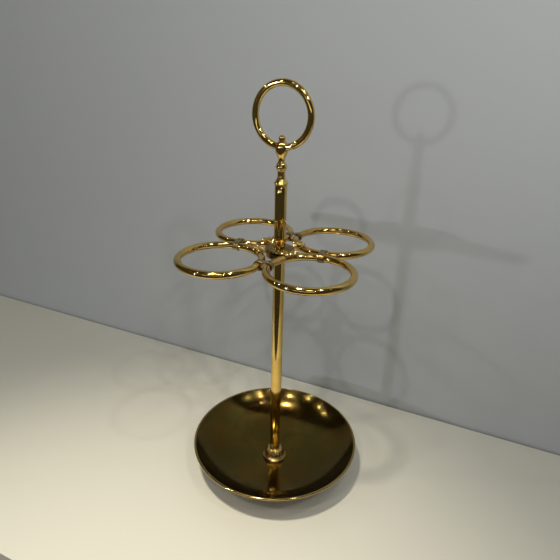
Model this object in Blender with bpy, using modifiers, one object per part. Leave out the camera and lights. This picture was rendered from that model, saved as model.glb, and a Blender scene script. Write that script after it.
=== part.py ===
"""Brass umbrella stand: a dished base, a tube pole, four umbrella rings round a hub and a ring handle."""
import bmesh
import bpy
from math import asin, atan, cos, hypot, pi, radians, sin, sqrt
from mathutils import Matrix, Vector

# Every size is in metres. Z is up and the floor is at 0.
GAP = 0.0003                    # space left between touching pieces

# dish
DISH_RADIUS = 0.128             # over the rolled rim
DISH_RIM_HEIGHT = 0.0488        # centre of the rolled rim above the floor
DISH_FLOOR_HEIGHT = 0.011       # top of the flat middle above the floor
DISH_SHEET = 0.0013
DISH_CURVE = 4.0                # the wall rises with this power of the radius
RIM_BEAD_RADIUS = 0.0019

# foot under the dish
FOOT_RADIUS = 0.070
FOOT_WALL = 0.003
FELT_THICKNESS = 0.0015

# tie rod, nut and washer
ROD_RADIUS = 0.003
ROD_CLEARANCE = 0.0003
WASHER_RADIUS = 0.009
WASHER_THICKNESS = 0.0012
NUT_ACROSS_FLATS = 0.010
NUT_HEIGHT = 0.005
ROD_BELOW_NUT = 0.0007

# pole
POLE_RADIUS = 0.008
POLE_WALL = 0.0012
POLE_TOP = 0.4536

# gadrooned boss that the pole stands in
BOSS_RADIUS = 0.0187
BOSS_HEIGHT = 0.0172
BOSS_SOCKET_DEPTH = 0.0092
BOSS_LOBES = 20
BOSS_LOBE_DEPTH = 0.09          # share of the radius that a groove goes in
BOSS_SHOULDER = 0.80            # radius of the lobed dome and of the upper bead, as a share of the boss
STEPS_PER_LOBE = 3

# umbrella rings
RING_COUNT = 4
RING_HEIGHT = 0.367             # centre of the ring tubes
RING_INSIDE = 0.097
RING_TUBE = 0.0098
RING_GAP = 0.003                # between neighbouring ring tubes

# clips round neighbouring rings
CLIP_WIDTH = 0.008
CLIP_SHEET = 0.0009
CLIP_VALLEY = 0.006             # radius of the dip between the two tubes

# hub
HUB_COLLAR_WALL = 0.0035
HUB_COLLAR_DROP = 0.012         # lowest point, below the ring height
HUB_PLATE_DROP = 0.009
HUB_PLATE_TOP = -0.0018         # top of the body, from the ring height
HUB_EDGE = 0.0006               # chamfer of the hub body's corners
HUB_LOWER_EDGE = 0.002          # chamfer round the foot of the plate
CAP_OVERHANG = 0.002            # beyond the hub body
CAP_RISE = 0.0032               # dome of the cap, above its flat underside
CAP_BEAD_RISE = 0.0007
HUB_SCREW_FROM_POLE = 0.0065    # screw centre to the pole's surface
HUB_SCREW_TO_EDGE = 0.0035      # screw centre to the hub body's edge
HUB_SCREW_RADIUS = 0.0015
HUB_SCREW_HEAD_RADIUS = 0.0026
HUB_SCREW_HEAD = 0.0022
HUB_SCREW_IN_CAP = 0.0017
GRUB_RADIUS = 0.002
GRUB_DROP = 0.0055
GRUB_SUNK = 0.001               # its outer end lies this far inside the hub's edge

# palmettes
TANG_THICKNESS = 0.0027
TANG_WIDTH = 0.008
TANG_FROM_POLE = 0.0025         # inner end of the tang to the pole's surface
PALMETTE_START = 0.0077         # the lobes start this far inside the tube's centre line
PALMETTE_SHEET = 0.0022
PALMETTE_LOBES = 5
PALMETTE_SPREAD = radians(80)   # half angle of the fan
PALMETTE_REACH = 0.0142         # length of the middle lobe
PALMETTE_SIDE_REACH = 0.0158    # length of the outermost lobes
PALMETTE_SCALLOP = 0.0016
PALMETTE_RIB = 0.0008
PALMETTE_NECK = 0.0028          # half width where the lobes start
PALMETTE_SEAT = 0.0006          # room between the ring tube and the underside
PALMETTE_LIP = 0.0005           # lowest point of the far edge above the ring height
PALMETTE_CLIMB = 0.0075         # run over which the underside climbs onto the tube
PALMETTE_FIRST_RISE = 0.2       # share of the climb already made at the root

# finial
FERRULE_HEIGHT = 0.0148
FERRULE_NECK_RADIUS = 0.0049
FERRULE_FLARE = 0.0013          # the bell stands this far outside the pole
BALUSTER_HEIGHT = 0.0179
BALUSTER_RADIUS = 0.0072
KNUCKLE_HEIGHT = 0.0229
KNUCKLE_RADIUS = 0.0084
SPIGOT_DEPTH = 0.012
KNOB_RADIUS = 0.0042
KNOB_NECK_RADIUS = 0.0034
KNOB_SHANK_RADIUS = 0.0015
ROD_IN_KNUCKLE = 0.0055

# ring handle
HANDLE_RADIUS = 0.03745         # centre line
HANDLE_TUBE = 0.0089
HANDLE_TURN = radians(-52)      # turn of the handle about the pole, from +X, as clamped by the knob
HANDLE_ABOVE_KNUCKLE_FOOT = 0.0153   # lowest point of the centre line above the knuckle's foot

# fineness of the round pieces
LARGE_STEPS = 48
HUB_STEPS = 32
MEDIUM_STEPS = 24
SMALL_STEPS = 16
RING_STEPS = 48
TUBE_STEPS = 8
OVERCUT = 0.001                 # a cutter runs this far past the face that it cuts

# derived places
RING_RADIUS = (RING_INSIDE + RING_TUBE) / 2
RING_OFFSET = (2 * RING_RADIUS + RING_TUBE + RING_GAP) / sqrt(2)
TUBE_REACH = RING_OFFSET - RING_RADIUS
PALMETTE_ROOT = TUBE_REACH - PALMETTE_START
TANG_INNER = POLE_RADIUS + TANG_FROM_POLE
HUB_SCREW_CIRCLE = POLE_RADIUS + HUB_SCREW_FROM_POLE
HUB_RADIUS = HUB_SCREW_CIRCLE + HUB_SCREW_TO_EDGE
HUB_COLLAR_RADIUS = POLE_RADIUS + HUB_COLLAR_WALL
CAP_RADIUS = HUB_RADIUS + CAP_OVERHANG
CAP_UNDERSIDE = HUB_PLATE_TOP + TANG_THICKNESS + 2 * GAP
FERRULE_FOOT = POLE_TOP + GAP
BALUSTER_FOOT = FERRULE_FOOT + FERRULE_HEIGHT + GAP
KNUCKLE_FOOT = BALUSTER_FOOT + BALUSTER_HEIGHT + GAP
KNUCKLE_TOP = KNUCKLE_FOOT + KNUCKLE_HEIGHT
HANDLE_HEIGHT = KNUCKLE_FOOT + HANDLE_ABOVE_KNUCKLE_FOOT + HANDLE_RADIUS
BOSS_FOOT = DISH_FLOOR_HEIGHT + GAP
POLE_FOOT = BOSS_FOOT + BOSS_HEIGHT - BOSS_SOCKET_DEPTH + GAP
WASHER_TOP = DISH_FLOOR_HEIGHT - DISH_SHEET - GAP
NUT_TOP = WASHER_TOP - WASHER_THICKNESS - GAP
ROD_FOOT = NUT_TOP - NUT_HEIGHT - ROD_BELOW_NUT
ROD_BORE = ROD_RADIUS + ROD_CLEARANCE


def clear_scene():
    for thing in list(bpy.data.objects):
        bpy.data.objects.remove(thing, do_unlink=True)


def new_collection(name):
    collection = bpy.data.collections.new(name)
    bpy.context.scene.collection.children.link(collection)
    return collection


def add_object(name, mesh, collection):
    thing = bpy.data.objects.new(name, mesh)
    collection.objects.link(thing)
    return thing


def finish(thing, colour, roughness, metallic=1.0):
    """Give the piece its own material and smooth shading with sharp edges."""
    material = bpy.data.materials.new(thing.name + "_finish")
    material.use_nodes = True
    shader = material.node_tree.nodes["Principled BSDF"]
    shader.inputs["Base Color"].default_value = (*colour, 1.0)
    shader.inputs["Roughness"].default_value = roughness
    shader.inputs["Metallic"].default_value = metallic
    thing.data.materials.clear()
    thing.data.materials.append(material)
    return thing


def mesh_from(bm, name):
    mesh = bpy.data.meshes.new(name)
    bm.to_mesh(mesh)
    bm.free()
    mesh.shade_smooth()
    mesh.set_sharp_from_angle(angle=radians(40))
    return mesh


def add_screw(thing, steps):
    screw = thing.modifiers.new("turn", "SCREW")
    screw.angle = 2 * pi
    screw.steps = steps
    screw.render_steps = steps
    screw.use_merge_vertices = True
    screw.merge_threshold = 0.00001
    screw.use_smooth_shade = True
    return thing


def turned(name, profile, steps, collection, closed=True):
    """Turn a profile of (radius, height) points round Z; the outer side runs from top to bottom."""
    bm = bmesh.new()
    points = [bm.verts.new((radius, 0.0, height)) for radius, height in profile]
    for first, second in zip(points, points[1:]):
        bm.edges.new((first, second))
    if closed:
        bm.edges.new((points[-1], points[0]))
    return add_screw(add_object(name, mesh_from(bm, name), collection), steps)


def cutter(thing):
    thing.hide_render = True
    thing.display_type = "WIRE"
    return thing


def cut(thing, tool):
    boolean = thing.modifiers.new("cut_" + tool.name, "BOOLEAN")
    boolean.operation = "DIFFERENCE"
    boolean.solver = "EXACT"
    boolean.object = tool
    return thing


def cylinder_cutter(name, radius, low, high, collection, centre=(0.0, 0.0), steps=SMALL_STEPS):
    """An upright cylinder that cuts from height low to height high."""
    bm = bmesh.new()
    place = Matrix.Translation((*centre, (low + high) / 2))
    bmesh.ops.create_cone(bm, cap_ends=True, segments=steps, radius1=radius, radius2=radius,
                          depth=high - low, matrix=place)
    return cutter(add_object(name, mesh_from(bm, name), collection))


def torus(name, radius, tube_radius, centre, collection, standing_turn=None, steps=RING_STEPS):
    """A torus, flat or stood upright and turned about Z."""
    bpy.ops.mesh.primitive_torus_add(major_segments=steps, minor_segments=TUBE_STEPS,
                                     major_radius=radius, minor_radius=tube_radius)
    thing = bpy.context.active_object
    thing.name = name
    thing.data.name = name
    for owner in list(thing.users_collection):
        owner.objects.unlink(thing)
    collection.objects.link(thing)
    if standing_turn is not None:
        thing.data.transform(Matrix.Rotation(standing_turn, 4, "Z") @ Matrix.Rotation(pi / 2, 4, "X"))
    thing.location = centre
    thing.data.shade_smooth()
    return thing


def arc(centre, radius, start, end, count):
    """Points on an arc, both ends included; angles in degrees."""
    x, y = centre
    angles = [radians(start + (end - start) * step / (count - 1)) for step in range(count)]
    return [(x + radius * cos(angle), y + radius * sin(angle)) for angle in angles]


# ---- dish and foot

BEAD_CENTRE = (DISH_RADIUS - RIM_BEAD_RADIUS, DISH_RIM_HEIGHT)
DISH_EDGE = arc(BEAD_CENTRE, RIM_BEAD_RADIUS, 200, -110, 9)
INSIDE_RADIUS, INSIDE_TOP = DISH_EDGE[0]


def dish_height(radius):
    """Height of the dish's upper face at a radius."""
    rise = INSIDE_TOP - DISH_FLOOR_HEIGHT
    return DISH_FLOOR_HEIGHT + rise * (radius / INSIDE_RADIUS) ** DISH_CURVE


def dish_underside(radius):
    """The point of the lower face that lies one sheet below the upper face at a radius."""
    rise = INSIDE_TOP - DISH_FLOOR_HEIGHT
    slope = atan(rise * DISH_CURVE * radius ** (DISH_CURVE - 1) / INSIDE_RADIUS ** DISH_CURVE)
    return radius + DISH_SHEET * sin(slope), dish_height(radius) - DISH_SHEET * cos(slope)


def underside_height(radius):
    """Height of the lower face at a radius, read between the two nearest points of its profile."""
    upper = radius
    for _ in range(8):
        upper -= dish_underside(upper)[0] - radius
    return dish_underside(upper)[1]


def build_dish(collection):
    count = 9
    radii = [ROD_BORE + (INSIDE_RADIUS - ROD_BORE) * (step / count) ** 0.62 for step in range(count)]
    upper = [(radius, dish_height(radius)) for radius in radii]
    lower = [dish_underside(radius) for radius in reversed(radii[1:])]
    hole = [(ROD_BORE, DISH_FLOOR_HEIGHT - DISH_SHEET)]
    dish = turned("dish", DISH_EDGE + lower + hole + upper, LARGE_STEPS, collection)
    finish(dish, (0.42, 0.30, 0.10), 0.22)


def build_foot(collection):
    inner = FOOT_RADIUS - FOOT_WALL
    foot_bottom = FELT_THICKNESS + GAP
    profile = [(FOOT_RADIUS, underside_height(FOOT_RADIUS) - GAP), (FOOT_RADIUS, foot_bottom),
               (inner, foot_bottom), (inner, underside_height(inner) - GAP)]
    foot = turned("foot_ring", profile, LARGE_STEPS, collection)
    finish(foot, (0.45, 0.33, 0.12), 0.3)
    felt = turned("foot_felt", [(FOOT_RADIUS, FELT_THICKNESS), (FOOT_RADIUS, 0.0),
                                (inner, 0.0), (inner, FELT_THICKNESS)], LARGE_STEPS, collection)
    finish(felt, (0.05, 0.12, 0.06), 0.95, 0.0)


# ---- rod, nut, washer and pole

def build_fixings(collection, cutters):
    washer_foot = WASHER_TOP - WASHER_THICKNESS
    section = [(WASHER_RADIUS, WASHER_TOP), (WASHER_RADIUS, washer_foot), (ROD_BORE, washer_foot),
               (ROD_BORE, WASHER_TOP)]
    washer = turned("base_washer", section, MEDIUM_STEPS, collection)
    finish(washer, (0.5, 0.38, 0.16), 0.35)
    nut_radius = NUT_ACROSS_FLATS / 2 / cos(pi / 6)
    bm = bmesh.new()
    bmesh.ops.create_cone(bm, cap_ends=True, segments=6, radius1=nut_radius, radius2=nut_radius,
                          depth=NUT_HEIGHT, matrix=Matrix.Translation((0, 0, NUT_TOP - NUT_HEIGHT / 2)))
    nut = add_object("base_nut", mesh_from(bm, "base_nut"), collection)
    cut(nut, cylinder_cutter("nut_bore", ROD_BORE, NUT_TOP - NUT_HEIGHT - OVERCUT, NUT_TOP + OVERCUT,
                             cutters))
    finish(nut, (0.5, 0.38, 0.16), 0.35)
    rod_top = KNUCKLE_FOOT + ROD_IN_KNUCKLE
    rod = turned("tie_rod", [(0.0, rod_top), (ROD_RADIUS, rod_top), (ROD_RADIUS, ROD_FOOT), (0.0, ROD_FOOT)],
                 SMALL_STEPS, collection, closed=False)
    finish(rod, (0.4, 0.4, 0.4), 0.4)


def build_pole(collection):
    inner = POLE_RADIUS - POLE_WALL
    pole = turned("pole_tube", [(POLE_RADIUS, POLE_TOP), (POLE_RADIUS, POLE_FOOT), (inner, POLE_FOOT),
                                (inner, POLE_TOP)], MEDIUM_STEPS, collection)
    finish(pole, (0.62, 0.46, 0.18), 0.18)


def boss_profile():
    """Outer side of the boss from its top down: dome, upper bead, lower bead."""
    dome_radius = BOSS_RADIUS * BOSS_SHOULDER
    dome_foot = BOSS_HEIGHT * 0.38
    neck = POLE_RADIUS + 2 * GAP
    rise = BOSS_HEIGHT - dome_foot
    dome = [(neck + (dome_radius - neck) * cos(radians(angle)), dome_foot + rise * sin(radians(angle)))
            for angle in (80, 52, 28, 5)]
    upper_bead = arc((dome_radius, BOSS_HEIGHT * 0.27), BOSS_RADIUS * 0.075, 80, -80, 3)
    lower_bead = arc((BOSS_RADIUS * 0.915, BOSS_HEIGHT * 0.095), BOSS_RADIUS * 0.085, 80, -80, 3)
    return dome, upper_bead + lower_bead


def build_boss(collection):
    """A turned boss whose dome is pinched into lobes."""
    dome, beads = boss_profile()
    socket_floor = BOSS_HEIGHT - BOSS_SOCKET_DEPTH
    socket = POLE_RADIUS + GAP
    bore = [(ROD_BORE, 0.0), (ROD_BORE, socket_floor), (socket, socket_floor), (socket, dome[0][1])]
    steps = BOSS_LOBES * STEPS_PER_LOBE
    bm = bmesh.new()
    profile = [(r, z + BOSS_FOOT) for r, z in dome + beads + bore]
    points = [bm.verts.new((radius, 0.0, height)) for radius, height in profile]
    edges = [bm.edges.new(pair) for pair in zip(points, points[1:] + points[:1])]
    bmesh.ops.spin(bm, geom=points + edges, cent=(0, 0, 0), axis=(0, 0, 1), angle=2 * pi, steps=steps,
                   use_merge=True)
    bmesh.ops.remove_doubles(bm, verts=bm.verts, dist=0.000001)
    low, high = profile[len(dome) - 1][1] - GAP, profile[1][1] + GAP
    for vert in bm.verts:
        radius = vert.co.xy.length
        if low < vert.co.z < high and radius > socket + GAP:
            angle = Vector((1, 0)).angle_signed(vert.co.xy)
            place = (angle * BOSS_LOBES / (2 * pi)) % 1.0 - 0.5
            groove = 1 - sqrt(1 - (2 * place) ** 2)
            room = (radius - socket) / (BOSS_RADIUS * BOSS_SHOULDER - socket)
            vert.co.xy *= 1 - BOSS_LOBE_DEPTH * groove * min(1.0, room)
    bmesh.ops.recalc_face_normals(bm, faces=bm.faces)
    boss = add_object("base_boss", mesh_from(bm, "base_boss"), collection)
    finish(boss, (0.60, 0.44, 0.18), 0.25)


# ---- umbrella rings and clips

def ring_angle(index):
    return 2 * pi * index / RING_COUNT


def build_rings(collection):
    for index in range(RING_COUNT):
        angle = ring_angle(index)
        centre = (RING_OFFSET * cos(angle), RING_OFFSET * sin(angle), RING_HEIGHT)
        ring = torus(f"umbrella_ring_{index + 1}", RING_RADIUS, RING_TUBE / 2, centre, collection)
        finish(ring, (0.62, 0.47, 0.2), 0.2)


def clip_outline(offset):
    """A closed outline that follows both tubes at a distance and dips between them."""
    half = (RING_TUBE + RING_GAP) / 2
    radius = RING_TUBE / 2 + offset
    dip = CLIP_VALLEY - (offset - GAP) + CLIP_SHEET
    height = sqrt((radius + dip) ** 2 - half ** 2)
    lean = atan(height / half) * 180 / pi
    right = arc((half, 0.0), radius, 180 - lean, lean - 180, 11)
    bottom = arc((0.0, -height), dip, lean, 180 - lean, 4)[1:-1]
    left = arc((-half, 0.0), radius, -lean, lean - 360, 11)
    top = arc((0.0, height), dip, 180 + lean, 360 - lean, 4)[1:-1]
    return right + bottom + left + top


def build_clip(index, collection):
    """A strap bent round the tubes of two neighbouring rings."""
    name = f"ring_clip_{index + 1}"
    curve = bpy.data.curves.new(name, "CURVE")
    curve.dimensions = "2D"
    curve.fill_mode = "BOTH"
    curve.extrude = CLIP_WIDTH / 2
    for offset in (GAP + CLIP_SHEET, GAP):
        outline = clip_outline(offset)
        spline = curve.splines.new("POLY")
        spline.points.add(len(outline) - 1)
        for point, (x, y) in zip(spline.points, outline):
            point.co = (x, y, 0.0, 1.0)
        spline.use_cyclic_u = True
    source = bpy.data.objects.new(name + "_outline", curve)
    bpy.context.scene.collection.objects.link(source)
    bpy.context.view_layer.update()
    graph = bpy.context.evaluated_depsgraph_get()
    mesh = bpy.data.meshes.new_from_object(source.evaluated_get(graph))
    bpy.data.objects.remove(source, do_unlink=True)
    bm = bmesh.new()
    bm.from_mesh(mesh)
    bmesh.ops.remove_doubles(bm, verts=bm.verts, dist=0.000001)
    bmesh.ops.recalc_face_normals(bm, faces=bm.faces)
    clip = add_object(name, mesh_from(bm, name), collection)
    angle = ring_angle(index + 0.5)
    upright = Matrix.Rotation(angle + pi / 2, 4, "Z") @ Matrix.Rotation(pi / 2, 4, "X")
    reach = RING_OFFSET / sqrt(2)
    clip.matrix_world = Matrix.Translation((reach * cos(angle), reach * sin(angle), RING_HEIGHT)) @ upright
    finish(clip, (0.58, 0.45, 0.2), 0.28)


# ---- hub

def hub_screw_place(index):
    angle = ring_angle(index)
    return HUB_SCREW_CIRCLE * cos(angle), HUB_SCREW_CIRCLE * sin(angle)


def build_hub(collection, cutters):
    bore = POLE_RADIUS + GAP
    low, plate, top = -HUB_COLLAR_DROP, -HUB_PLATE_DROP, HUB_PLATE_TOP
    body_profile = [(HUB_RADIUS - HUB_EDGE, top), (HUB_RADIUS, top - HUB_EDGE),
                    (HUB_RADIUS, plate + HUB_LOWER_EDGE), (HUB_RADIUS - HUB_LOWER_EDGE, plate),
                    (HUB_COLLAR_RADIUS, plate), (HUB_COLLAR_RADIUS, low + HUB_EDGE),
                    (HUB_COLLAR_RADIUS - HUB_EDGE, low), (bore, low), (bore, top)]
    body = turned("hub_body", [(r, z + RING_HEIGHT) for r, z in body_profile], HUB_STEPS, collection)
    finish(body, (0.42, 0.32, 0.13), 0.35)
    base = CAP_UNDERSIDE
    dome = [(bore, base + CAP_RISE), (bore + 0.0005, base + CAP_RISE + CAP_BEAD_RISE),
            (bore + 0.0018, base + CAP_RISE + CAP_BEAD_RISE), (bore + 0.0024, base + CAP_RISE - 0.0001),
            (CAP_RADIUS * 0.78, base + CAP_RISE * 0.84), (CAP_RADIUS * 0.93, base + CAP_RISE * 0.52),
            (CAP_RADIUS, base + CAP_RISE * 0.2), (CAP_RADIUS, base), (bore, base)]
    cap = turned("hub_cap", [(r, z + RING_HEIGHT) for r, z in dome], HUB_STEPS, collection)
    finish(cap, (0.45, 0.35, 0.15), 0.3)
    for index in range(RING_COUNT):
        place = hub_screw_place(index)
        hole = HUB_SCREW_RADIUS + GAP
        shank = cylinder_cutter(f"hub_hole_{index + 1}", hole, RING_HEIGHT + plate - OVERCUT,
                                RING_HEIGHT + base + HUB_SCREW_IN_CAP + GAP, cutters, place)
        head = cylinder_cutter(f"hub_counterbore_{index + 1}", HUB_SCREW_HEAD_RADIUS + GAP,
                               RING_HEIGHT + plate - OVERCUT, RING_HEIGHT + plate + HUB_SCREW_HEAD + GAP,
                               cutters, place)
        cut(body, shank)
        cut(body, head)
        cut(cap, shank)
        build_hub_screw(index, place, collection)
    build_grub(body, collection, cutters)


def build_hub_screw(index, place, collection):
    plate = RING_HEIGHT - HUB_PLATE_DROP
    top = RING_HEIGHT + CAP_UNDERSIDE + HUB_SCREW_IN_CAP
    seat = plate + HUB_SCREW_HEAD
    name = f"hub_screw_{index + 1}"
    screw = turned(name, [(0.0, top), (HUB_SCREW_RADIUS, top), (HUB_SCREW_RADIUS, seat),
                          (HUB_SCREW_HEAD_RADIUS, seat), (HUB_SCREW_HEAD_RADIUS, plate), (0.0, plate)],
                   SMALL_STEPS, collection, closed=False)
    screw.location = (*place, 0.0)
    finish(screw, (0.5, 0.38, 0.16), 0.3)


def build_grub(body, collection, cutters):
    """The grub screw that locks the hub on the pole, halfway between two palmettes."""
    height = RING_HEIGHT - GRUB_DROP
    inner = POLE_RADIUS + GAP
    outer = HUB_RADIUS - GRUB_SUNK
    turn = Matrix.Rotation(ring_angle(0.5), 4, "Z")
    for name, radius, start, end, owner in (
            ("grub_hole", GRUB_RADIUS + GAP, POLE_RADIUS - OVERCUT, HUB_RADIUS + OVERCUT, cutters),
            ("hub_grub_screw", GRUB_RADIUS, inner, outer, collection)):
        bm = bmesh.new()
        place = turn @ Matrix.Translation(((start + end) / 2, 0, height)) @ Matrix.Rotation(pi / 2, 4, "Y")
        bmesh.ops.create_cone(bm, cap_ends=True, segments=SMALL_STEPS, radius1=radius, radius2=radius,
                              depth=end - start, matrix=place)
        thing = add_object(name, mesh_from(bm, name), owner)
        if owner == cutters:
            cut(body, cutter(thing))
        else:
            finish(thing, (0.35, 0.35, 0.35), 0.4)


# ---- palmettes

def palmette_level(x, y):
    """Underside of the palmette above the ring height: flat tang, climb, then round over the ring tube."""
    start = HUB_PLATE_TOP + GAP
    over = RING_TUBE / 2 + PALMETTE_SEAT
    across = RING_RADIUS - hypot(RING_OFFSET - x, y)
    if across > 0:
        return max(PALMETTE_LIP, sqrt(max(0.0, over ** 2 - across ** 2)))
    if x < PALMETTE_ROOT:
        return start
    climb = min(1.0, PALMETTE_FIRST_RISE + hypot(x - PALMETTE_ROOT, y) / PALMETTE_CLIMB)
    return start + (over - start) * climb ** 2 * (3 - 2 * climb)


def palmette_crown(x, y, lobe):
    """Upper face of the palmette; lobe is 1 along a lobe's ridge and 0 in a groove."""
    low = palmette_level(x, y)
    if x < PALMETTE_ROOT:
        return low + TANG_THICKNESS
    crown = low + PALMETTE_SHEET
    across = RING_RADIUS - hypot(RING_OFFSET - x, y)
    if across > 0:
        outer = RING_TUBE / 2 + PALMETTE_SEAT + PALMETTE_SHEET
        crown = max(low + PALMETTE_SHEET / 2, sqrt(outer ** 2 - across ** 2))
    return crown + PALMETTE_RIB * lobe


def build_palmette_mesh(collection, cutters):
    """One grid bent into tang, neck and scalloped fan, then extruded to its crown."""
    fan_rows, columns = 8, 3 * PALMETTE_LOBES
    neck = [(TANG_INNER, TANG_WIDTH / 2), (CAP_RADIUS + GAP, TANG_WIDTH / 2)]
    rows = len(neck) + fan_rows
    bm = bmesh.new()
    ridge = bm.verts.layers.float.new("ridge")
    bmesh.ops.create_grid(bm, x_segments=columns, y_segments=rows, size=1.0)
    for vert in bm.verts:
        turn = vert.co.x
        row = round((vert.co.y + 1) / 2 * rows)
        lobe = 0.0
        if row < len(neck):
            x, half = neck[row]
            y = turn * half
        else:
            share = (row - len(neck)) / fan_rows
            lobe = abs(sin(pi / 2 * PALMETTE_LOBES * (turn + 1)))
            reach = PALMETTE_REACH + (PALMETTE_SIDE_REACH - PALMETTE_REACH) * turn ** 2
            reach -= PALMETTE_SCALLOP * (1 - lobe)
            angle = turn * PALMETTE_SPREAD
            x = PALMETTE_ROOT + share * reach * cos(angle)
            y = turn * PALMETTE_NECK * (1 - share) + share * reach * sin(angle)
            lobe *= share
        vert.co = (x, y, palmette_level(x, y))
        vert[ridge] = lobe
    lifted = bmesh.ops.extrude_face_region(bm, geom=bm.faces[:])["geom"]
    for vert in [item for item in lifted if isinstance(item, bmesh.types.BMVert)]:
        vert.co.z = palmette_crown(vert.co.x, vert.co.y, vert[ridge])
    bmesh.ops.recalc_face_normals(bm, faces=bm.faces)
    blank = add_object("palmette_blank", mesh_from(bm, "palmette_blank"), cutters)
    low = HUB_PLATE_TOP + GAP
    high = low + TANG_THICKNESS
    cut(blank, cylinder_cutter("tang_hole", HUB_SCREW_RADIUS + GAP, low - OVERCUT, high + OVERCUT,
                               cutters, (HUB_SCREW_CIRCLE, 0.0)))
    bpy.context.view_layer.update()
    graph = bpy.context.evaluated_depsgraph_get()
    mesh = bpy.data.meshes.new_from_object(blank.evaluated_get(graph))
    mesh.name = "palmette"
    cutter(blank)
    return mesh


def build_palmettes(collection, cutters):
    mesh = build_palmette_mesh(collection, cutters)
    for index in range(RING_COUNT):
        palmette = add_object(f"palmette_{index + 1}", mesh.copy(), collection)
        turn = Matrix.Rotation(ring_angle(index), 4, "Z")
        palmette.matrix_world = Matrix.Translation((0, 0, RING_HEIGHT)) @ turn
        finish(palmette, (0.60, 0.45, 0.19), 0.25)


# ---- finial and handle

def shaped(outline, radius, height):
    """An outline given in shares of a radius and a height, at its real size."""
    return [(across * radius, up * height) for across, up in outline]


def turned_finial(name, outline, foot, collection, closed=True):
    """A turned piece of the finial, its outline measured from its own foot."""
    piece = turned(name, [(r, z + foot) for r, z in outline], MEDIUM_STEPS, collection, closed)
    return finish(piece, (0.62, 0.46, 0.18), 0.2)


def build_finial(collection, cutters):
    spigot = POLE_RADIUS - POLE_WALL - GAP
    flare = POLE_RADIUS + FERRULE_FLARE
    neck = shaped([(1.0, 1.0), (1.0, 0.92), (1.06, 0.81)], FERRULE_NECK_RADIUS, FERRULE_HEIGHT)
    bell = shaped([(0.65, 0.62), (0.83, 0.44), (0.97, 0.32), (1.0, 0.27), (0.98, 0.22), (0.90, 0.15),
                   (0.88, 0.06)], flare, FERRULE_HEIGHT)
    fit = [(POLE_RADIUS, 0.0), (spigot, 0.0), (spigot, -SPIGOT_DEPTH), (ROD_BORE, -SPIGOT_DEPTH),
           (ROD_BORE, FERRULE_HEIGHT)]
    turned_finial("ferrule", neck + bell + fit, FERRULE_FOOT, collection)
    bulb = shaped([(0.58, 1.0), (0.61, 0.91), (0.75, 0.81), (0.90, 0.70), (1.0, 0.51), (0.96, 0.41),
                   (0.83, 0.32), (0.69, 0.25), (0.69, 0.17), (0.68, 0.0)], BALUSTER_RADIUS, BALUSTER_HEIGHT)
    bore = [(ROD_BORE, 0.0), (ROD_BORE, BALUSTER_HEIGHT)]
    turned_finial("baluster", bulb + bore, BALUSTER_FOOT, collection)
    vase = shaped([(0.0, 1.0), (0.48, 1.0), (0.60, 0.98), (0.79, 0.92), (0.91, 0.84), (0.98, 0.72),
                   (1.0, 0.60), (0.98, 0.48), (0.88, 0.34), (0.72, 0.22), (0.56, 0.10), (0.50, 0.0),
                   (0.0, 0.0)], KNUCKLE_RADIUS, KNUCKLE_HEIGHT)
    knuckle = turned_finial("knuckle", vase, KNUCKLE_FOOT, collection, closed=False)
    centre = (0.0, 0.0, HANDLE_HEIGHT)
    eye = torus("handle_eye", HANDLE_RADIUS, HANDLE_TUBE / 2 + GAP, centre, cutters, HANDLE_TURN)
    cut(knuckle, cutter(eye))
    cut(knuckle, cylinder_cutter("rod_socket", ROD_BORE, KNUCKLE_FOOT - OVERCUT,
                                 KNUCKLE_FOOT + ROD_IN_KNUCKLE + GAP, cutters))
    cut(knuckle, cylinder_cutter("knob_socket", KNOB_SHANK_RADIUS + GAP, HANDLE_HEIGHT - HANDLE_RADIUS,
                                 KNUCKLE_TOP + OVERCUT, cutters))
    handle = torus("handle_ring", HANDLE_RADIUS, HANDLE_TUBE / 2, centre, collection, HANDLE_TURN)
    finish(handle, (0.62, 0.48, 0.2), 0.18)


def build_knob(collection):
    """A ball-headed screw that pinches the handle in the knuckle."""
    drop = sqrt(KNOB_RADIUS ** 2 - KNOB_NECK_RADIUS ** 2)
    centre = KNUCKLE_TOP + GAP + drop
    ball = arc((0.0, centre), KNOB_RADIUS, 90, -asin(drop / KNOB_RADIUS) * 180 / pi, 9)
    ball[0] = (0.0, centre + KNOB_RADIUS)
    shank_end = HANDLE_HEIGHT - HANDLE_RADIUS + HANDLE_TUBE / 2 + GAP
    seat = ball[-1][1]
    profile = ball + [(KNOB_SHANK_RADIUS, seat), (KNOB_SHANK_RADIUS, shank_end), (0.0, shank_end)]
    knob = turned("knob_screw", profile, MEDIUM_STEPS, collection, closed=False)
    finish(knob, (0.62, 0.46, 0.18), 0.2)


def build():
    clear_scene()
    stand = new_collection("umbrella_stand")
    cutters = new_collection("cutters")
    build_dish(stand)
    build_foot(stand)
    build_fixings(stand, cutters)
    build_boss(stand)
    build_pole(stand)
    build_rings(stand)
    for index in range(RING_COUNT):
        build_clip(index, stand)
    build_hub(stand, cutters)
    build_palmettes(stand, cutters)
    build_finial(stand, cutters)
    build_knob(stand)


build()
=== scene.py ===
from math import acos, atan2, cos, hypot, pi, radians, sin, sqrt

import bmesh
import bpy
import numpy as np
from mathutils import Matrix, Vector


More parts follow.
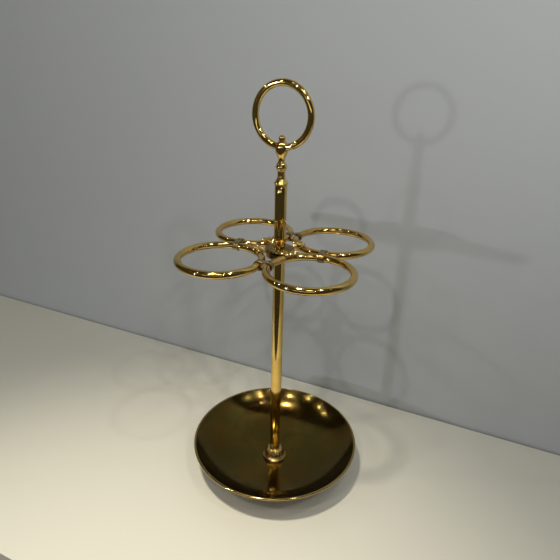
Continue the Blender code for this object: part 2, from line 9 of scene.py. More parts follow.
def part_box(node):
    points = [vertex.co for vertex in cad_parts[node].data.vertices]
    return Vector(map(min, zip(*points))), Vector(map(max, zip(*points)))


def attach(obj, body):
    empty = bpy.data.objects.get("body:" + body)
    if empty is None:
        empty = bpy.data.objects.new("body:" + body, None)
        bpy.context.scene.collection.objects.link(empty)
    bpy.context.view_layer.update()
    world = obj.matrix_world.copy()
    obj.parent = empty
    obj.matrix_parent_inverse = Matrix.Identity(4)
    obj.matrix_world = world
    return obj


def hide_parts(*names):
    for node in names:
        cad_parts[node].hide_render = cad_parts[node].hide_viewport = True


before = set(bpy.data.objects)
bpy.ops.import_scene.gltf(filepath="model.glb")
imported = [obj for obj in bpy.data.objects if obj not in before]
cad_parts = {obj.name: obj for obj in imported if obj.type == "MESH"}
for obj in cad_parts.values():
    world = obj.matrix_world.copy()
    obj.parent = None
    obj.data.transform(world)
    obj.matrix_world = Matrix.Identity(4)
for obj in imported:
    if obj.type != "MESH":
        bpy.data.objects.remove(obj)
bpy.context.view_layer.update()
body = "root"  # nothing moves, so every piece rides on one body
print("frame loaded:", len(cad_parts), "nodes")


# sizes that several pieces share, read from the frame

def sizeOf(node):
    low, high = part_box(node)
    return high - low


def middleOf(node):
    low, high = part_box(node)
    return (low + high) / 2


def footOf(node):
    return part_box(node)[0].z


def topOf(node):
    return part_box(node)[1].z


def four(stem):  # what there are four of, one beside each umbrella
    return [f"{stem}_{number}" for number in range(1, 5)]


ringNodes = four("umbrella_ring")
ring = {"count": len(ringNodes),
        "height": middleOf(ringNodes[0]).z,
        "offset": middleOf(ringNodes[0]).x,  # ring centre to the pole's axis
        "tube": sizeOf(ringNodes[0]).z / 2}  # radius of the rod
ring["radius"] = sizeOf(ringNodes[0]).x / 2 - ring["tube"]
pole = {"radius": sizeOf("pole_tube").x / 2, "foot": footOf("pole_tube"), "top": topOf("pole_tube")}
gap = 0.0003  # left between pieces that touch
rodHole = 0.0033  # radius of the holes that the tie rod passes


# nodes written as sums

class Term:  # wraps one socket
    def __init__(self, sheet, socket):
        self.sheet = sheet
        self.socket = socket

    def maths(self, operation, *terms):
        return self.sheet.node("ShaderNodeMath", {"operation": operation}, dict(enumerate(terms)))

    def __add__(self, other):
        return self.maths("ADD", self, other)

    def __radd__(self, other):
        return self.maths("ADD", other, self)

    def __sub__(self, other):
        return self.maths("SUBTRACT", self, other)

    def __mul__(self, other):
        return self.maths("MULTIPLY", self, other)

    def __truediv__(self, other):
        return self.maths("DIVIDE", self, other)

    def held(self):  # kept between 0 and 1
        return self.sheet.node("ShaderNodeClamp", {}, {0: self})

    def between(self, low, high):  # 0 at low, 1 at high, eased
        return self.sheet.node("ShaderNodeMapRange", {"interpolation_type": "SMOOTHSTEP"},
                               {0: self, 1: low, 2: high})


class Sheet:  # a node tree and the ways nodes are added to it
    def __init__(self, tree):
        self.tree = tree

    def node(self, kind, settings=None, inputs=None, output=0):
        made = self.tree.nodes.new(kind)
        for name, value in (settings or {}).items():
            setattr(made, name, value)
        for key, value in (inputs or {}).items():
            self.feed(made.inputs[key], value)
        return Term(self, made.outputs[output])

    def feed(self, socket, value):
        if isinstance(value, Term):
            self.tree.links.new(value.socket, socket)
        else:
            socket.default_value = value

    def stretched(self, place, stretch):  # a place with its three axes scaled
        return self.node("ShaderNodeMapping", {}, {0: place, 3: stretch})

    def noise(self, place, scale, detail=4.0, roughness=0.55, warp=0.0):
        return self.node("ShaderNodeTexNoise", {}, {"Vector": place, "Scale": scale, "Detail": detail,
                                                    "Roughness": roughness, "Distortion": warp})

    def mixed(self, factor, first, second):  # colours; a plain colour is given as three numbers
        colours = [value if isinstance(value, Term) else (*value, 1.0) for value in (first, second)]
        return self.node("ShaderNodeMix", {"data_type": "RGBA"},
                         {0: factor, 6: colours[0], 7: colours[1]}, output=2)


def newFinish(name):
    material = bpy.data.materials.new(name)
    material.use_nodes = True
    sheet = Sheet(material.node_tree)
    return material, sheet, material.node_tree.nodes["Principled BSDF"]


# brass: a bright metal under an uneven skin of tarnish, darker in the hollows with dirt and painted shade

brassBase = {"bright": (0.84, 0.61, 0.20),  # freshly rubbed metal
             "warm": (0.70, 0.45, 0.13),  # rubbed metal with a first blush of tarnish
             "dull": (0.36, 0.27, 0.085),  # brown-green tarnish
             "dark": (0.045, 0.030, 0.012),  # dirt and old polish left in the hollows, and painted shade there
             "cloud": 24.0,  # how small the tarnish clouds are
             "blushScale": 0.41,  # the other patterns, against the clouds
             "grainScale": 14,
             "speckScale": 30,
             "spread": (0.42, 0.72),  # cloud values between which tarnish comes in
             "depth": 0.55,  # how much of the dull colour the clouds bring
             "hollow": 1.0,  # how strongly hollows are darkened, with dirt and painted shade
             "gold": (0.86, 0.64, 0.24),  # metal on the edges, where hands and cloths rub most; on the boss and the dish rim also a painted highlight
             "rub": 0.5,  # how much of it shows on the crests
             "cleaned": 0.5,  # how much tarnish the crests lose
             "grit": 0.12,  # how much tarnish the grain adds
             "polish": 0.13,  # roughness of clean metal
             "haze": 0.16,  # roughness that tarnish adds
             "dirtHaze": 0.35,  # and what dirt, specks and grain add
             "speckHaze": 0.2,
             "grainHaze": 0.04,
             "marks": (900.0, 900.0, 900.0),  # stretch of the fine polishing marks
             "markDepth": 0.000006,
             "ripple": 38.0,  # long unevenness of the surface
             "rippleDepth": 0.00006,
             "specks": 0.66,  # higher means fewer dark specks
             "speckDark": 0.7}


def brass(name, **changes):
    look = {**brassBase, **changes}
    material, sheet, shader = newFinish(name)
    place = sheet.node("ShaderNodeTexCoord", output=3)
    hollow = sheet.node("ShaderNodeAttribute", {"attribute_name": "hollow"}, output=2)
    crest = sheet.node("ShaderNodeAttribute", {"attribute_name": "crest"}, output=2)
    cloud = sheet.noise(place, look["cloud"], 6.0, 0.62, 0.6)
    blush = sheet.noise(place, look["cloud"] * look["blushScale"], 3.0, 0.5, 0.3)
    grain = sheet.noise(place, look["cloud"] * look["grainScale"], 3.0, 0.6)
    speck = sheet.noise(place, look["cloud"] * look["speckScale"], 2.0, 0.5)
    # hollows get darker: partly dirt and old polish, partly painted shade where the hollows would be shaded
    dirtAndShade = (hollow * look["hollow"] * (grain * 0.8 + 0.6)).held()
    tarnish = cloud.between(*look["spread"]) * look["depth"] + grain * look["grit"] - look["grit"] / 2
    tarnish = (tarnish - crest * look["cleaned"]).held()
    spots = speck.between(look["specks"], look["specks"] + 0.05) * (cloud * 1.4 - 0.2).held()
    brightened = sheet.mixed(blush.between(0.38, 0.66), look["bright"], look["warm"])
    aged = sheet.mixed(tarnish, brightened, look["dull"])
    aged = sheet.mixed((crest * look["rub"]).held(), aged, look["gold"])
    dirtyAndShaded = sheet.mixed((dirtAndShade + spots * look["speckDark"]).held(), aged, look["dark"])
    sheet.feed(shader.inputs["Base Color"], dirtyAndShaded)
    rough = look["polish"] + tarnish * look["haze"] + dirtAndShade * look["dirtHaze"] + spots * look["speckHaze"]
    rough = rough + grain * look["grainHaze"] - look["grainHaze"] / 2
    sheet.feed(shader.inputs["Roughness"], rough.held())
    shader.inputs["Metallic"].default_value = 1.0
    marks = sheet.noise(sheet.stretched(place, look["marks"]), 1.0, 3.0, 0.7)
    ripple = sheet.noise(place, look["ripple"], 2.0, 0.4)
    fine = sheet.node("ShaderNodeBump", {}, {"Distance": look["markDepth"], "Height": marks})
    broad = sheet.node("ShaderNodeBump", {}, {"Distance": look["rippleDepth"], "Height": ripple,
                                              "Normal": fine})
    sheet.feed(shader.inputs["Normal"], broad)
    return material


def spunBrass(name, ringing, **changes):  # brass with the lathe's rings in it and a rim painted brighter gold, partly wear and partly painted highlight
    material = brass(name, **changes)
    sheet = Sheet(material.node_tree)
    shader = material.node_tree.nodes["Principled BSDF"]
    place = sheet.node("ShaderNodeTexCoord", output=3)
    flat = sheet.node("ShaderNodeVectorMath", {"operation": "MULTIPLY"}, {0: place, 1: (1.0, 1.0, 0.0)})
    radius = sheet.node("ShaderNodeVectorMath", {"operation": "LENGTH"}, {0: flat}, output=1)
    across = sheet.node("ShaderNodeCombineXYZ", {}, {0: radius, 1: 0.0, 2: 0.0})
    lines = sheet.noise(across, ringing["count"], 4.0, 0.65)
    # the rim's gold: partly rubbed wear, partly a painted highlight along the bead
    brightened = radius.between(*ringing["rim"]) * ringing["rimRubAndGleam"]
    skin = Term(sheet, shader.inputs["Base Color"].links[0].from_socket)
    sheet.feed(shader.inputs["Base Color"], sheet.mixed(brightened, skin, brassBase["gold"]))
    before = Term(sheet, shader.inputs["Normal"].links[0].from_socket)
    rings = sheet.node("ShaderNodeBump", {}, {"Distance": ringing["depth"], "Height": lines,
                                              "Normal": before})
    sheet.feed(shader.inputs["Normal"], rings)
    return material


steel = {"clean": (0.46, 0.45, 0.43), "stained": (0.20, 0.14, 0.09), "stain": 160.0,
         "drawn": (700.0, 700.0, 90.0), "polish": 0.12, "markDepth": 0.00002}


def steelFinish(name):
    material, sheet, shader = newFinish(name)
    place = sheet.node("ShaderNodeTexCoord", output=3)
    grain = sheet.noise(sheet.stretched(place, steel["drawn"]), 1.0, 4.0, 0.7)
    stain = sheet.noise(place, steel["stain"], 5.0, 0.6)
    colour = sheet.mixed(stain.between(0.45, 0.75), steel["clean"], steel["stained"])
    sheet.feed(shader.inputs["Base Color"], colour)
    sheet.feed(shader.inputs["Roughness"], (grain * 0.25 + stain * 0.3 + steel["polish"]).held())
    shader.inputs["Metallic"].default_value = 1.0
    bump = sheet.node("ShaderNodeBump", {}, {"Distance": steel["markDepth"], "Height": grain})
    sheet.feed(shader.inputs["Normal"], bump)
    return material


cloth = {"deep": (0.022, 0.055, 0.030), "pale": (0.10, 0.17, 0.10), "worn": (0.12, 0.13, 0.09),
         "fibre": 1500.0, "wear": 60.0, "roughness": 0.86, "sheen": 0.35, "nap": 0.0002}


def feltFinish(name):
    material, sheet, shader = newFinish(name)
    place = sheet.node("ShaderNodeTexCoord", output=3)
    fibre = sheet.noise(place, cloth["fibre"], 6.0, 0.75, 1.5)
    wear = sheet.noise(place, cloth["wear"], 4.0, 0.6)
    colour = sheet.mixed(fibre.between(0.3, 0.7), cloth["deep"], cloth["pale"])
    colour = sheet.mixed(wear.between(0.5, 0.8) * 0.5, colour, cloth["worn"])
    sheet.feed(shader.inputs["Base Color"], colour)
    sheet.feed(shader.inputs["Roughness"], (fibre * 0.1 + cloth["roughness"]).held())
    shader.inputs["Sheen Weight"].default_value = cloth["sheen"]
    bump = sheet.node("ShaderNodeBump", {}, {"Distance": cloth["nap"], "Height": fibre})
    sheet.feed(shader.inputs["Normal"], bump)
    return material


finishes = {
    "pole": brass("pole_brass", marks=(700.0, 700.0, 14.0), depth=0.50, cloud=30.0, polish=0.07, haze=0.10),
    "rings": brass("ring_brass", depth=0.50, cloud=34.0, polish=0.08, haze=0.12, bright=(0.74, 0.52, 0.17)),
    "handle": brass("handle_brass", depth=0.30, cloud=40.0, polish=0.06, haze=0.10),
    "finial": brass("finial_brass", depth=0.42, cloud=70.0, polish=0.09, hollow=1.3,
                    marks=(60.0, 60.0, 2600.0)),
    "cast": brass("cast_brass", depth=0.55, cloud=90.0, polish=0.10, hollow=2.2, rippleDepth=0.00005,
                  ripple=180.0),
    "hub": brass("hub_brass", depth=0.80, cloud=80.0, polish=0.10, hollow=2.0, bright=(0.36, 0.26, 0.09),
                 warm=(0.30, 0.20, 0.06), dull=(0.13, 0.11, 0.040), rub=0.30),
    "strap": brass("strap_brass", depth=0.75, cloud=80.0, polish=0.16, marks=(400.0, 400.0, 400.0),
                   bright=(0.50, 0.37, 0.15), warm=(0.40, 0.28, 0.11), dull=(0.22, 0.175, 0.08), rub=0.30,
                   hollow=1.8),
    # the boss's crests are painted near-white gold, partly rubbed wear and partly painted highlight on the
    # lobes; its hollows are darkened strongly, partly dirt and partly painted shade in the grooves
    "boss": brass("boss_brass", depth=0.20, cloud=80.0, polish=0.10, hollow=8.0, rub=1.0,
                  bright=(0.84, 0.62, 0.26), warm=(0.70, 0.48, 0.18), gold=(1.0, 0.82, 0.46)),
    # the dish's crests and rim are painted bright gold: partly rubbed wear, partly painted highlight on the
    # rim bead
    "dish": spunBrass("dish_brass", {"count": 2400.0, "depth": 0.000006, "rim": (0.1235, 0.1255),
                                     "rimRubAndGleam": 0.42},
                      bright=(0.195, 0.130, 0.030), warm=(0.160, 0.085, 0.020), dull=(0.115, 0.100, 0.026),
                      cloud=26.0, depth=0.80, polish=0.10, haze=0.12, spread=(0.34, 0.66), rub=1.0,
                      rippleDepth=0.00010),
    "under": spunBrass("under_brass", {"count": 2400.0, "depth": 0.00002, "rim": (0.5, 0.6), "rimRubAndGleam": 0.0},
                       bright=(0.55, 0.40, 0.17), polish=0.28, depth=0.7, cloud=40.0),
    "steel": steelFinish("rod_steel"),
    "felt": feltFinish("green_felt")}
print("finishes made:", len(finishes))


# outlines and meshes

def arc(centre, radius, start, end, count):  # angles in degrees, both ends included
    x, y = centre
    angles = [radians(start + (end - start) * step / (count - 1)) for step in range(count)]
    return [(x + radius * cos(angle), y + radius * sin(angle)) for angle in angles]


def rounded(corners, fineness=5):  # corners are (radius, height, fillet); the outline is closed
    outline = []
    for index, (x, y, fillet) in enumerate(corners):
        here = Vector((x, y))
        back = Vector(corners[index - 1][:2]) - here
        ahead = Vector(corners[(index + 1) % len(corners)][:2]) - here
        if fillet <= 0:
            outline.append((x, y))
            continue
        half = acos(max(-1.0, min(1.0, back.normalized().dot(ahead.normalized())))) / 2
        reach = fillet / max(0.05, abs(cos(half) / sin(half)) ** -1)
        reach = min(reach, back.length / 2.05, ahead.length / 2.05)
        first = here + back.normalized() * reach
        last = here + ahead.normalized() * reach
        for step in range(fineness + 1):
            share = step / fineness
            point = first * (1 - share) ** 2 + here * 2 * share * (1 - share) + last * share ** 2
            outline.append((point.x, point.y))
    return outline


def flowing(points, fineness=6):  # a smooth curve through the points
    run = [Vector(point) for point in points]
    run = [run[0] * 2 - run[1]] + run + [run[-1] * 2 - run[-2]]
    line = []
    for a, b, c, d in zip(run, run[1:], run[2:], run[3:]):
        for step in range(fineness):
            t = step / fineness
            point = (b * 2 + (c - a) * t + (a * 2 - b * 5 + c * 4 - d) * t ** 2
                     + (b * 3 - a - c * 3 + d) * t ** 3) / 2
            line.append((max(0.0, point.x), point.y))
    line.append(tuple(run[-2]))
    return line


def meshObject(name, verts, faces, finish, smoothTo=40):
    mesh = bpy.data.meshes.new(name)
    mesh.from_pydata(verts, [], faces)
    mesh.update()
    thing = bpy.data.objects.new(name, mesh)
    bpy.context.scene.collection.objects.link(thing)
    mesh.materials.append(finish)
    mesh.shade_smooth()
    mesh.set_sharp_from_angle(angle=radians(smoothTo))
    return thing


def turned(name, outline, finish, steps=128, closed=True, shape=None):
    # turns (radius, height) points round Z, down the outside first; shape may move each point
    verts = []
    rows = []
    for radius, height in outline:
        if radius < 1e-7:
            rows.append([len(verts)] * steps)
            verts.append((0.0, 0.0, height))
            continue
        rows.append(list(range(len(verts), len(verts) + steps)))
        for step in range(steps):
            angle = 2 * pi * step / steps
            r = shape(radius, height, angle) if shape else radius
            verts.append((r * cos(angle), r * sin(angle), height))
    faces = []
    last = len(rows) if closed else len(rows) - 1
    for index in range(last):
        upper = rows[index]
        lower = rows[(index + 1) % len(rows)]
        for step in range(steps):
            after = (step + 1) % steps
            corner = [upper[step], lower[step], lower[after], upper[after]]
            corner = list(dict.fromkeys(corner))
            if len(corner) > 2:
                faces.append(corner)
    return meshObject(name, verts, faces, finish)


def markHollows(thing, reach):  # leaves "hollow" and "crest" on the mesh for its finish
    mesh = thing.data
    count = len(mesh.vertices)
    place = np.empty(count * 3)
    normal = np.empty(count * 3)
    pair = np.empty(len(mesh.edges) * 2, dtype=int)
    mesh.vertices.foreach_get("co", place)
    mesh.vertices.foreach_get("normal", normal)
    mesh.edges.foreach_get("vertices", pair)
    place = place.reshape(-1, 3)
    normal = normal.reshape(-1, 3)
    first, second = pair.reshape(-1, 2).T
    run = place[second] - place[first]
    length = np.maximum(np.linalg.norm(run, axis=1), 1e-6)
    total = np.zeros(count)
    weight = np.zeros(count)
    for here, sign in ((first, 1.0), (second, -1.0)):
        bend = sign * (normal[here] * run).sum(1) / length ** 2 * 2
        np.add.at(total, here, bend * length)
        np.add.at(weight, here, length)
    bend = np.clip(total / np.maximum(weight, 1e-9) * reach, -1.0, 1.0)
    for softening in range(2):
        spread = np.zeros(count)
        number = np.zeros(count)
        for here, there in ((first, second), (second, first)):
            np.add.at(spread, here, bend[there])
            np.add.at(number, here, 1.0)
        bend = bend * 0.5 + spread / np.maximum(number, 1.0) * 0.5
    crest = -bend - 0.25  # only a firm edge counts as a crest
    for name, values in (("hollow", np.clip(bend, 0, 1)), ("crest", np.clip(crest, 0, 1))):
        layer = mesh.attributes.new(name, "FLOAT", "POINT")
        layer.data.foreach_set("value", values.astype(np.float32))


def settle(thing, slotName, *nodes, reach=0.0006):  # the last step for every piece
    markHollows(thing, reach)
    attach(thing, body)
    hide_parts(*nodes)


def applied(thing):  # keeps what the modifiers make, as a plain mesh
    bpy.context.view_layer.update()
    graph = bpy.context.evaluated_depsgraph_get()
    mesh = bpy.data.meshes.new_from_object(thing.evaluated_get(graph))
    thing.modifiers.clear()
    old = thing.data
    thing.data = mesh
    bpy.data.meshes.remove(old)
    mesh.name = thing.name
    return mesh


def carve(thing, tool):
    cut = thing.modifiers.new("cut", "BOOLEAN")
    cut.object = tool
    cut.solver = "EXACT"


# what repeats round the pole: one tree copies a piece, the other bends rings

def newTree(name, sockets):
    tree = bpy.data.node_groups.new(name, "GeometryNodeTree")
    tree.is_modifier = True
    keys = {}
    for label, kind in sockets.items():
        keys[label] = tree.interface.new_socket(label, in_out="INPUT", socket_type=kind).identifier
    tree.interface.new_socket("Geometry", in_out="OUTPUT", socket_type="NodeSocketGeometry")
    sheet = Sheet(tree)
    source = tree.nodes.new("NodeGroupInput")
    given = {label: Term(sheet, source.outputs[label]) for label in sockets}
    return tree, sheet, given, keys


def turnedCopies(sheet, given, shape):  # copies of a shape round Z, made real and painted
    points = sheet.node("GeometryNodeMeshLine", {}, {"Count": given["Count"], "Offset": (0.0, 0.0, 0.0)})
    number = sheet.node("GeometryNodeInputIndex")
    spin = sheet.node("ShaderNodeCombineXYZ", {}, {2: number * (2 * pi) / given["Count"]})
    copies = sheet.node("GeometryNodeInstanceOnPoints", {}, {"Points": points, "Instance": shape,
                                                             "Rotation": spin})
    real = sheet.node("GeometryNodeRealizeInstances", {}, {0: copies})
    joined = sheet.node("GeometryNodeMergeByDistance", {}, {"Geometry": real, "Distance": given["Weld"]})
    painted = sheet.node("GeometryNodeSetMaterial", {}, {"Geometry": joined, "Material": given["Finish"]})
    end = sheet.tree.nodes.new("NodeGroupOutput")
    sheet.feed(end.inputs[0], painted)


def copyTree():
    tree, sheet, given, keys = newTree("round_the_pole", {
        "Geometry": "NodeSocketGeometry", "Count": "NodeSocketInt", "Weld": "NodeSocketFloat",
        "Finish": "NodeSocketMaterial"})
    turnedCopies(sheet, given, given["Geometry"])
    return tree, keys


def ringTree():
    tree, sheet, given, keys = newTree("bent_rod_rings", {
        "Geometry": "NodeSocketGeometry", "Count": "NodeSocketInt", "Weld": "NodeSocketFloat",
        "Finish": "NodeSocketMaterial", "Ring radius": "NodeSocketFloat",
        "Rod radius": "NodeSocketFloat", "Place": "NodeSocketVector", "Tilt": "NodeSocketVector",
        "Ring steps": "NodeSocketInt", "Rod steps": "NodeSocketInt"})
    path = sheet.node("GeometryNodeCurvePrimitiveCircle", {}, {"Resolution": given["Ring steps"],
                                                               "Radius": given["Ring radius"]})
    rod = sheet.node("GeometryNodeCurvePrimitiveCircle", {}, {"Resolution": given["Rod steps"],
                                                              "Radius": given["Rod radius"]})
    tube = sheet.node("GeometryNodeCurveToMesh", {}, {"Curve": path, "Profile Curve": rod})
    smooth = sheet.node("GeometryNodeSetShadeSmooth", {}, {"Geometry": tube})
    stood = sheet.node("GeometryNodeTransform", {}, {"Geometry": smooth, "Rotation": given["Tilt"],
                                                     "Translation": given["Place"]})
    turnedCopies(sheet, given, stood)
    return tree, keys


trees = {"copies": copyTree(), "rings": ringTree()}


def grown(thing, treeName, values):  # runs a tree on a piece and keeps the result
    tree, keys = trees[treeName]
    modifier = thing.modifiers.new("grow", "NODES")
    modifier.node_group = tree
    for label, value in values.items():
        modifier[keys[label]] = value
    applied(thing)
    return thing


def repeated(thing, count, finish, weld=0.0):
    return grown(thing, "copies", {"Count": count, "Weld": weld, "Finish": finish})


def emptyMesh(name):
    thing = bpy.data.objects.new(name, bpy.data.meshes.new(name))
    bpy.context.scene.collection.objects.link(thing)
    return thing


# camera and studio

view = {"lens": 31.96, "sensor": 36.0,
        "azimuth": radians(243.86), "distance": 0.6286, "height": 0.6006,  # where the camera stands
        "heading": radians(-26.30), "down": radians(23.82), "roll": radians(1.47)}


def setCamera():
    data = bpy.data.cameras.new("camera")
    data.lens = view["lens"]
    data.sensor_width = view["sensor"]
    camera = bpy.data.objects.new("camera", data)
    bpy.context.scene.collection.objects.link(camera)
    x, y = view["distance"] * cos(view["azimuth"]), view["distance"] * sin(view["azimuth"])
    place = Matrix.Translation((x, y, view["height"]))
    look = Matrix.Rotation(view["heading"], 4, "Z") @ Matrix.Rotation(pi / 2 - view["down"], 4, "X")
    camera.matrix_world = place @ look @ Matrix.Rotation(view["roll"], 4, "Z")
    bpy.context.scene.camera = camera


studio = {"floor": (0.80, 0.78, 0.68), "wall": (0.50, 0.52, 0.535), "wallFacing": radians(39.55),
          "tableBack": 0.221, "tableFront": 0.31, "tableSide": 1.3, "tableThick": 0.03,
          "wallGap": 0.004, "wallFoot": -0.9, "wallTop": 2.0, "wallSide": 3.0,
          "room": (0.044, 0.040, 0.032), "aim": (0.0, 0.0, 0.25)}
warmWhite = (1.0, 0.96, 0.88)
lamps = {  # direction from the stand, how far, size, watts, colour
    "wash": ((-0.30, -0.60, 0.74), 2.4, (0.5, 0.5), 3.2, (0.90, 0.96, 1.0)),
    "washer": ((0.10, -0.45, 0.90), 1.5, (0.05, 0.05), 1.6, (0.92, 0.97, 1.0)),
    "side": ((-0.98, -0.17, 0.142), 2.6, (0.10, 0.10), 6.6, (0.92, 0.96, 1.0)),
    "window": ((-0.62, -0.75, 0.20), 3.0, (2.6, 0.35), 3.6, (1.0, 0.98, 0.94)),
    "spotFront": ((0.04, -0.65, 0.76), 1.8, (0.045, 0.045), 1.8, warmWhite),
    "spotRight": ((0.31, -0.65, 0.69), 1.9, (0.035, 0.035), 0.8, warmWhite),
    "spotNear": ((-0.53, -0.40, 0.75), 1.8, (0.04, 0.04), 2.6, warmWhite),
    "spotLow": ((-0.17, -0.75, 0.63), 2.0, (0.035, 0.035), 0.8, warmWhite),
    "spotLeft": ((-0.77, -0.10, 0.63), 1.9, (0.035, 0.035), 1.0, warmWhite),
    "spotRear": ((-0.76, 0.23, 0.60), 1.9, (0.035, 0.035), 0.8, warmWhite),
    "spotFar": ((-0.69, 0.41, 0.59), 1.9, (0.035, 0.035), 0.8, warmWhite)}
spots = {  # direction, how far, what it is aimed at, how wide it opens, watts, colour
    "pool": ((-0.33, -0.20, 0.92), 1.25, (-0.34, -0.22, 0.0), radians(54), 54.0, (1.0, 0.92, 0.76)),
    "upperWall": ((0.05, -0.72, 0.70), 1.9, (0.45, 0.06, 0.86), radians(54), 44.0, (1.0, 0.99, 0.95))}
spotSize = 0.05
haze = {"scale": 3.0, "shade": 0.96}  # the faint unevenness of the painted surfaces


def plainFinish(name, colour, roughness):
    material, sheet, shader = newFinish(name)
    place = sheet.node("ShaderNodeTexCoord", output=3)
    cloud = sheet.noise(place, haze["scale"], 3.0, 0.5)
    shade = tuple(channel * haze["shade"] for channel in colour)
    sheet.feed(shader.inputs["Base Color"], sheet.mixed(cloud, colour, shade))
    shader.inputs["Roughness"].default_value = roughness
    return material


def setStage():  # a pale table top that stands against a wall
    back = Vector((cos(studio["wallFacing"]), sin(studio["wallFacing"]), 0.0))
    along = Vector((-back.y, back.x, 0.0))
    deep = Vector((0.0, 0.0, -studio["tableThick"]))
    front, rear = -back * studio["tableFront"], back * studio["tableBack"]
    side = along * studio["tableSide"]
    top = [front + side, front - side, rear - side, rear + side]
    faces = [(0, 1, 2, 3), (7, 6, 5, 4), (0, 4, 5, 1), (1, 5, 6, 2), (2, 6, 7, 3), (3, 7, 4, 0)]
    floor = meshObject("floor", top + [corner + deep for corner in top], faces,
                       plainFinish("floor_paint", studio["floor"], 0.6))
    rear += back * studio["wallGap"]
    low, high = Vector((0.0, 0.0, studio["wallFoot"])), Vector((0.0, 0.0, studio["wallTop"]))
    side = along * studio["wallSide"]
    corners = [rear - side + low, rear - side + high, rear + side + high, rear + side + low]
    wall = meshObject("backdrop", corners, [(0, 1, 2, 3)], plainFinish("backdrop_paint", studio["wall"], 0.8))


def addLamp(name, direction, reach, size, power, colour):
    data = bpy.data.lights.new(name, "AREA")
    data.shape = "RECTANGLE" if size[0] > size[1] else "DISK"
    data.size, data.size_y = size
    data.energy = power
    data.color = colour
    lamp = bpy.data.objects.new(name, data)
    aim = Vector(studio["aim"])
    lamp.location = aim + Vector(direction).normalized() * reach
    lamp.rotation_euler = Vector(direction).to_track_quat("Z", "Y").to_euler()
    bpy.context.scene.collection.objects.link(lamp)


def addSpot(name, direction, reach, target, cone, power, colour):
    data = bpy.data.lights.new(name, "SPOT")
    data.spot_size, data.spot_blend = cone, 1.0
    data.shadow_soft_size = spotSize
    data.energy, data.color = power, colour
    lamp = bpy.data.objects.new(name, data)
    lamp.location = Vector(studio["aim"]) + Vector(direction).normalized() * reach
    lamp.rotation_euler = (lamp.location - Vector(target)).to_track_quat("Z", "Y").to_euler()
    bpy.context.scene.collection.objects.link(lamp)


def setLight():
    world = bpy.data.worlds.new("room")
    world.use_nodes = True
    world.node_tree.nodes["Background"].inputs["Color"].default_value = (*studio["room"], 1.0)
    bpy.context.scene.world = world
    bpy.context.scene.view_settings.view_transform = "Standard"
    for name, lamp in lamps.items():
        addLamp(name, *lamp)
    for name, spot in spots.items():
        addSpot(name, *spot)


setCamera()
setStage()
setLight()
print("studio set")


# dish: spun sheet with a rolled rim

dishSizes = {"sheet": 0.0013, "curve": 4.0, "bead": 0.0019, "rows": 56, "steps": 256,
             "beadFrom": 196, "beadTo": -150, "beadPoints": 22,  # the bead's turn, in degrees
             "tuck": 0.0004,  # the wall meets the bead this far inside its end
             "spacing": 0.7}  # below 1 the rows crowd toward the rim


def makeDish():
    radius = sizeOf("dish").x / 2
    bead = dishSizes["bead"]
    beadCentre = (radius - bead, topOf("dish") - bead)
    floorTop = footOf("base_boss") - gap
    edge = arc(beadCentre, bead, dishSizes["beadFrom"], dishSizes["beadTo"], dishSizes["beadPoints"])
    insideRadius, insideTop = edge[0]
    rise = insideTop - floorTop

    def level(r):
        return floorTop + rise * (r / insideRadius) ** dishSizes["curve"]

    def under(r):
        curve = dishSizes["curve"]
        slope = atan2(rise * curve * r ** (curve - 1), insideRadius ** curve)
        return r + dishSizes["sheet"] * sin(slope), level(r) - dishSizes["sheet"] * cos(slope)

    rows = dishSizes["rows"]
    span = insideRadius - rodHole
    radii = [rodHole + span * (step / rows) ** dishSizes["spacing"] for step in range(rows)]
    inner = [(r, level(r)) for r in radii]
    reach = edge[-1][0] - dishSizes["tuck"]
    outer = [point for point in (under(r) for r in reversed(radii[1:])) if point[0] < reach]
    bottom = [(rodHole, floorTop - dishSizes["sheet"])]
    outline = edge + outer + bottom + inner
    dish = turned("spun_dish", outline, finishes["dish"], dishSizes["steps"])
    settle(dish, "aged_brass", "dish", reach=0.0008)


makeDish()
print("dish made")


# foot ring, felt, washer, nut and rod end under the dish

footSizes = {"wall": 0.003, "edge": 0.0007, "feltEdge": 0.0003, "steps": 160,
             "drop": 0.00035,  # the inner wall stops lower, where the dish is flatter
             "washerEdge": 0.0003, "washerHoleEdge": 0.0002}
rodSizes = {"thread": 0.00035, "pitch": 0.001, "crests": 9, "edge": 0.0003,
            "nutChamfer": 0.58, "nutEdge": 0.0003, "blank": 0.9}


def ringSection(node, edge, drop=0.0):
    low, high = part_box(node)
    outer, inner = high.x, high.x - footSizes["wall"]
    return rounded([(outer, high.z, edge), (outer, low.z, edge), (inner, low.z, edge),
                    (inner, high.z - drop, edge)])


def makeFoot():
    steps = footSizes["steps"]
    foot = turned("turned_foot", ringSection("foot_ring", footSizes["edge"], footSizes["drop"]),
                  finishes["under"], steps)
    settle(foot, "aged_brass", "foot_ring")
    felt = turned("felt_ring", ringSection("foot_felt", footSizes["feltEdge"]), finishes["felt"], steps)
    settle(felt, "felt", "foot_felt")
    low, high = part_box("base_washer")
    edge, holeEdge = footSizes["washerEdge"], footSizes["washerHoleEdge"]
    section = rounded([(high.x, high.z, edge), (high.x, low.z, edge), (rodHole, low.z, holeEdge),
                       (rodHole, high.z, holeEdge)])
    settle(turned("turned_washer", section, finishes["finial"], 64), "polished_brass", "base_washer")


